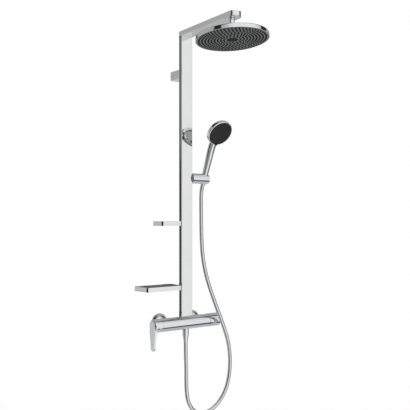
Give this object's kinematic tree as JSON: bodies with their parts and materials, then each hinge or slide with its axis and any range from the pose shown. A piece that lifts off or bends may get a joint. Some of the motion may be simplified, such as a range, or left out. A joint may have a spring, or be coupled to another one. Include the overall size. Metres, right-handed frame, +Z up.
{
  "type": "shower system",
  "caption": "Wall shower column with a round overhead spray on a swing-free arm, a handset on a slider, a hose, shelves and a bar mixer with lever and diverter.",
  "frame": {"origin": "on the wall, behind the middle of the mixer bar, midway between the two water inlets", "axes": "+X right along the wall seen from the room, +Y into the wall, +Z up along the rail"},
  "size_m": [0.3755, 0.4935, 1.4504],
  "materials": {
    "chrome": "mirror polished",
    "polished_aluminium": "mirror polished",
    "chromed_plastic": "bright plated",
    "chromed_hose": "smooth silver sheath",
    "brass": "turned",
    "copper_tube": "drawn",
    "cast_metal": "cast",
    "steel": "machined",
    "white_plastic": "moulded",
    "black_plastic": "glossy black",
    "dark_spray_face": "satin dark grey",
    "dark_insert": "glossy dark grey",
    "rubber": "moulded",
    "dark_rubber": "soft silicone"
  },
  "bodies": {
    "root": {"mixer_body": "chrome", "cartridge": "white_plastic", "cartridge_nut": "brass", "cartridge_cover": "chrome", "diverter_cartridge": "white_plastic", "diverter_nut": "brass", "hose_outlet": "brass", "wall_union_left": "brass", "wall_union_right": "brass", "rosette_left": "chrome", "rosette_right": "chrome", "union_nuts": "chrome", "filter_washers": "rubber", "rail_profile": "polished_aluminium", "column_screws": "steel", "rail_foot": "cast_metal", "riser_tube": "copper_tube", "arm_shell": "polished_aluminium", "arm_underplate": "polished_aluminium", "corner_elbow": "brass", "arm_tube": "copper_tube", "outlet_block": "brass", "corner_bracket": "cast_metal", "outlet_stud": "chrome", "bracket_base": "cast_metal", "bracket_tongue": "cast_metal", "bracket_cover": "chromed_plastic", "bracket_grub_screw": "steel", "shower_hose": "chromed_hose", "hose_nut_mixer": "chrome"},
    "rotor": {"cartridge_rotor": "white_plastic"},
    "lever": {"cartridge_stem": "brass", "lever_handle": "chrome", "lever_grub_screw": "steel"},
    "diverter": {"diverter_spindle": "brass", "diverter_knob": "chrome"},
    "pitch_ring": {"ball_ring": "white_plastic"},
    "roll_ring": {"ball_seal": "rubber"},
    "head": {"ball_nut": "chrome", "head_shell": "chromed_plastic", "flow_washer": "rubber", "head_spray_plate": "dark_spray_face", "head_nozzles": "dark_rubber", "head_seal": "rubber"},
    "slider": {"slider_shoe": "white_plastic", "holder_pivot": "chrome"},
    "holder": {"holder_barrel": "chromed_plastic"},
    "handset": {"handset_body": "chromed_plastic", "handset_inlet": "brass", "hose_nut_handset": "chrome", "handset_spray_disc": "black_plastic"},
    "selector": {"spray_selector": "black_plastic"},
    "upper_shelf": {"upper_shelf_tray": "chromed_plastic", "upper_shelf_insert": "dark_insert", "upper_shelf_block": "cast_metal", "upper_shelf_screw": "steel"},
    "lower_shelf": {"lower_shelf_tray": "chromed_plastic", "lower_shelf_insert": "dark_insert", "lower_shelf_block": "cast_metal", "lower_shelf_screw": "steel"}
  },
  "joints": [
    {"name": "upper_shelf_slide", "type": "slide", "parent": "root", "child": "upper_shelf", "axis": [0, 0, 1], "range_m": [-0.08, 0.45]},
    {"name": "lower_shelf_slide", "type": "slide", "parent": "root", "child": "lower_shelf", "axis": [0, 0, 1], "range_m": [-0.07, 0.1]},
    {"name": "holder_slide", "type": "slide", "parent": "root", "child": "slider", "axis": [0, 0, 1], "range_m": [-0.25, 0.12], "deforming": ["shower_hose"]},
    {"name": "holder_tilt", "type": "hinge", "parent": "slider", "child": "holder", "pos_m": [0.024, -0.069, 0.5445], "axis": [1, 0, 0], "range_deg": [-35, 25], "deforming": ["shower_hose"]},
    {"name": "handset_lift", "type": "slide", "parent": "holder", "child": "handset", "axis": [0, -0.3843, 0.9232], "range_m": [0, 0.06], "deforming": ["shower_hose"]},
    {"name": "spray_select", "type": "hinge", "parent": "handset", "child": "selector", "pos_m": [0.086, -0.17242, 0.70682], "axis": [0, -0.788, -0.6157], "range_deg": [-40, 40]},
    {"name": "head_pitch", "type": "hinge", "parent": "root", "child": "pitch_ring", "pos_m": [0, -0.346, 1.04], "axis": [1, 0, 0], "range_deg": [-7.6, 16.4]},
    {"name": "head_roll", "type": "hinge", "parent": "pitch_ring", "child": "roll_ring", "pos_m": [0, -0.346, 1.04], "axis": [0, 1, 0], "range_deg": [-10.8, 13.2]},
    {"name": "head_turn", "type": "hinge", "parent": "roll_ring", "child": "head", "pos_m": [0, -0.346, 1.04], "axis": [-0.0209, 0.0767, 0.9968], "continuous": true},
    {"name": "lever_turn", "type": "hinge", "parent": "root", "child": "rotor", "pos_m": [-0.11, -0.069, 0], "axis": [1, 0, 0], "range_deg": [-45, 45]},
    {"name": "lever_lift", "type": "hinge", "parent": "rotor", "child": "lever", "pos_m": [-0.11, -0.069, 0], "axis": [0, 1, 0], "range_deg": [0, 18]},
    {"name": "diverter_turn", "type": "hinge", "parent": "root", "child": "diverter", "pos_m": [0.1, -0.069, 0], "axis": [1, 0, 0], "range_deg": [-90, 90]}
  ]
}
